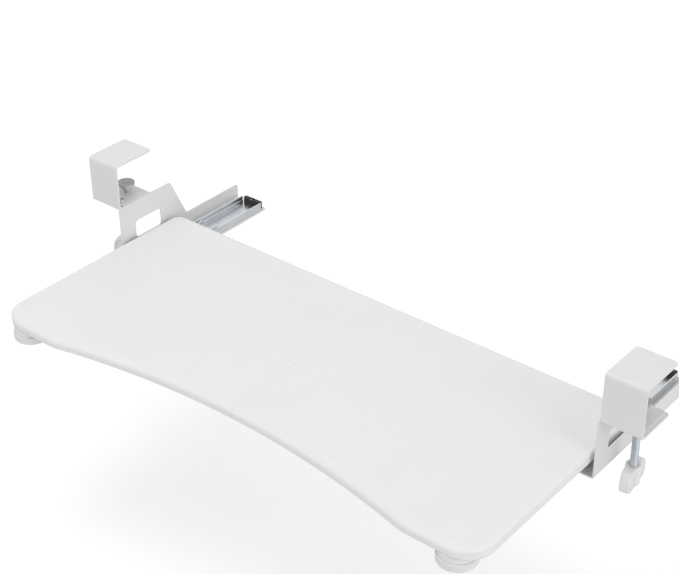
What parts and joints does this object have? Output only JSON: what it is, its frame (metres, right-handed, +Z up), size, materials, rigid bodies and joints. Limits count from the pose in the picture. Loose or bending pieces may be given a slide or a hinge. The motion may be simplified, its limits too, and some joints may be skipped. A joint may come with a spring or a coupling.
{
  "type": "keyboard tray",
  "caption": "Clamp-on keyboard tray for under a desk: bent hooks with wing-knob screws, window brackets, ball slides and a white board with a hollowed front edge.",
  "frame": {"origin": "on the desk's upper front edge, midway between the two clamps, level with the rubber under the hooks' top arms", "axes": "+X right along the desk's edge as seen from the front, +Y back under the desk, +Z up"},
  "size_m": [0.93, 0.4939, 0.1753],
  "materials": {
    "white_paint": "fine-textured white powder coat on bent steel",
    "white_board": "matte white foil on fibreboard",
    "white_plastic": "semi-gloss white moulding",
    "foot_plastic": "matte white moulding",
    "foot_rubber": "white non-marking rubber",
    "soft_rubber": "thin light grey rubber sheet",
    "dark_rubber": "black moulded rubber",
    "bright_steel": "bright plated threaded rod",
    "zinc_steel": "zinc plate",
    "rail_steel": "cold-rolled zinc-plated strip",
    "cage_steel": "thin plated sheet with a film of grease",
    "ball_steel": "polished bearing steel",
    "dowel_wood": "fluted beech"
  },
  "bodies": {
    "clamp_frame": {"left_clamp_hook": "white_paint", "left_top_pad": "soft_rubber", "left_screw_nut": "zinc_steel", "left_window_bracket": "white_paint", "left_bracket_bolts": "zinc_steel", "left_bracket_nuts": "zinc_steel", "left_outer_rail": "rail_steel", "left_rail_rivets": "zinc_steel", "left_rear_bumper": "dark_rubber", "right_clamp_hook": "white_paint", "right_top_pad": "soft_rubber", "right_screw_nut": "zinc_steel", "right_window_bracket": "white_paint", "right_bracket_bolts": "zinc_steel", "right_bracket_nuts": "zinc_steel", "right_outer_rail": "rail_steel", "right_rail_rivets": "zinc_steel", "right_rear_bumper": "dark_rubber"},
    "tray": {"left_panel": "white_board", "left_inner_rail": "rail_steel", "left_rail_screws": "zinc_steel", "left_front_foot": "foot_plastic", "left_foot_pad": "foot_rubber", "left_foot_screw": "zinc_steel", "right_panel": "white_board", "right_inner_rail": "rail_steel", "right_rail_screws": "zinc_steel", "right_front_foot": "foot_plastic", "right_foot_pad": "foot_rubber", "right_foot_screw": "zinc_steel", "front_joining_plate": "zinc_steel", "rear_joining_plate": "zinc_steel", "joining_screws": "zinc_steel", "seam_dowels": "dowel_wood"},
    "left_middle_member": {"left_middle_rail": "rail_steel"},
    "left_outer_bearing": {"left_outer_ball_cage": "cage_steel", "left_outer_balls": "ball_steel"},
    "left_inner_bearing": {"left_inner_ball_cage": "cage_steel", "left_inner_balls": "ball_steel"},
    "left_swivel_pad": {"left_pressure_pad": "zinc_steel", "left_pad_face": "soft_rubber"},
    "left_screw": {"left_clamp_screw": "bright_steel", "left_wing_knob": "white_plastic"},
    "right_middle_member": {"right_middle_rail": "rail_steel"},
    "right_outer_bearing": {"right_outer_ball_cage": "cage_steel", "right_outer_balls": "ball_steel"},
    "right_inner_bearing": {"right_inner_ball_cage": "cage_steel", "right_inner_balls": "ball_steel"},
    "right_swivel_pad": {"right_pressure_pad": "zinc_steel", "right_pad_face": "soft_rubber"},
    "right_screw": {"right_clamp_screw": "bright_steel", "right_wing_knob": "white_plastic"}
  },
  "joints": [
    {"name": "tray_slide", "type": "slide", "parent": "clamp_frame", "child": "tray", "axis": [0, -1, 0], "range_m": [-0.1912, 0.0335]},
    {"name": "left_middle_slide", "type": "slide", "parent": "clamp_frame", "child": "left_middle_member", "axis": [0, -1, 0], "range_m": [-0.0956, 0.01675]},
    {"name": "left_outer_bearing_slide", "type": "slide", "parent": "clamp_frame", "child": "left_outer_bearing", "axis": [0, -1, 0], "range_m": [-0.0478, 0.00838]},
    {"name": "left_inner_bearing_slide", "type": "slide", "parent": "clamp_frame", "child": "left_inner_bearing", "axis": [0, -1, 0], "range_m": [-0.1434, 0.02513]},
    {"name": "left_pad_lift", "type": "slide", "parent": "clamp_frame", "child": "left_swivel_pad", "axis": [0, 0, 1], "range_m": [-0.0045, 0.045]},
    {"name": "left_screw_turn", "type": "hinge", "parent": "left_swivel_pad", "child": "left_screw", "pos_m": [-0.4365, 0.0392, -0.1], "axis": [0, 0, 1], "range_deg": [-1080, 10800]},
    {"name": "right_middle_slide", "type": "slide", "parent": "clamp_frame", "child": "right_middle_member", "axis": [0, -1, 0], "range_m": [-0.0956, 0.01675]},
    {"name": "right_outer_bearing_slide", "type": "slide", "parent": "clamp_frame", "child": "right_outer_bearing", "axis": [0, -1, 0], "range_m": [-0.0478, 0.00838]},
    {"name": "right_inner_bearing_slide", "type": "slide", "parent": "clamp_frame", "child": "right_inner_bearing", "axis": [0, -1, 0], "range_m": [-0.1434, 0.02513]},
    {"name": "right_pad_lift", "type": "slide", "parent": "clamp_frame", "child": "right_swivel_pad", "axis": [0, 0, 1], "range_m": [-0.0045, 0.045]},
    {"name": "right_screw_turn", "type": "hinge", "parent": "right_swivel_pad", "child": "right_screw", "pos_m": [0.4365, 0.0392, -0.1], "axis": [0, 0, 1], "range_deg": [-1080, 10800]}
  ],
  "couplings": [
    {"joint": "left_middle_slide", "follows": "tray_slide", "ratio": 0.5},
    {"joint": "left_outer_bearing_slide", "follows": "tray_slide", "ratio": 0.25},
    {"joint": "left_inner_bearing_slide", "follows": "tray_slide", "ratio": 0.75},
    {"joint": "left_screw_turn", "follows": "left_pad_lift", "rad_per_m": 4188.8},
    {"joint": "right_middle_slide", "follows": "tray_slide", "ratio": 0.5},
    {"joint": "right_outer_bearing_slide", "follows": "tray_slide", "ratio": 0.25},
    {"joint": "right_inner_bearing_slide", "follows": "tray_slide", "ratio": 0.75},
    {"joint": "right_screw_turn", "follows": "right_pad_lift", "rad_per_m": 4188.8}
  ]
}
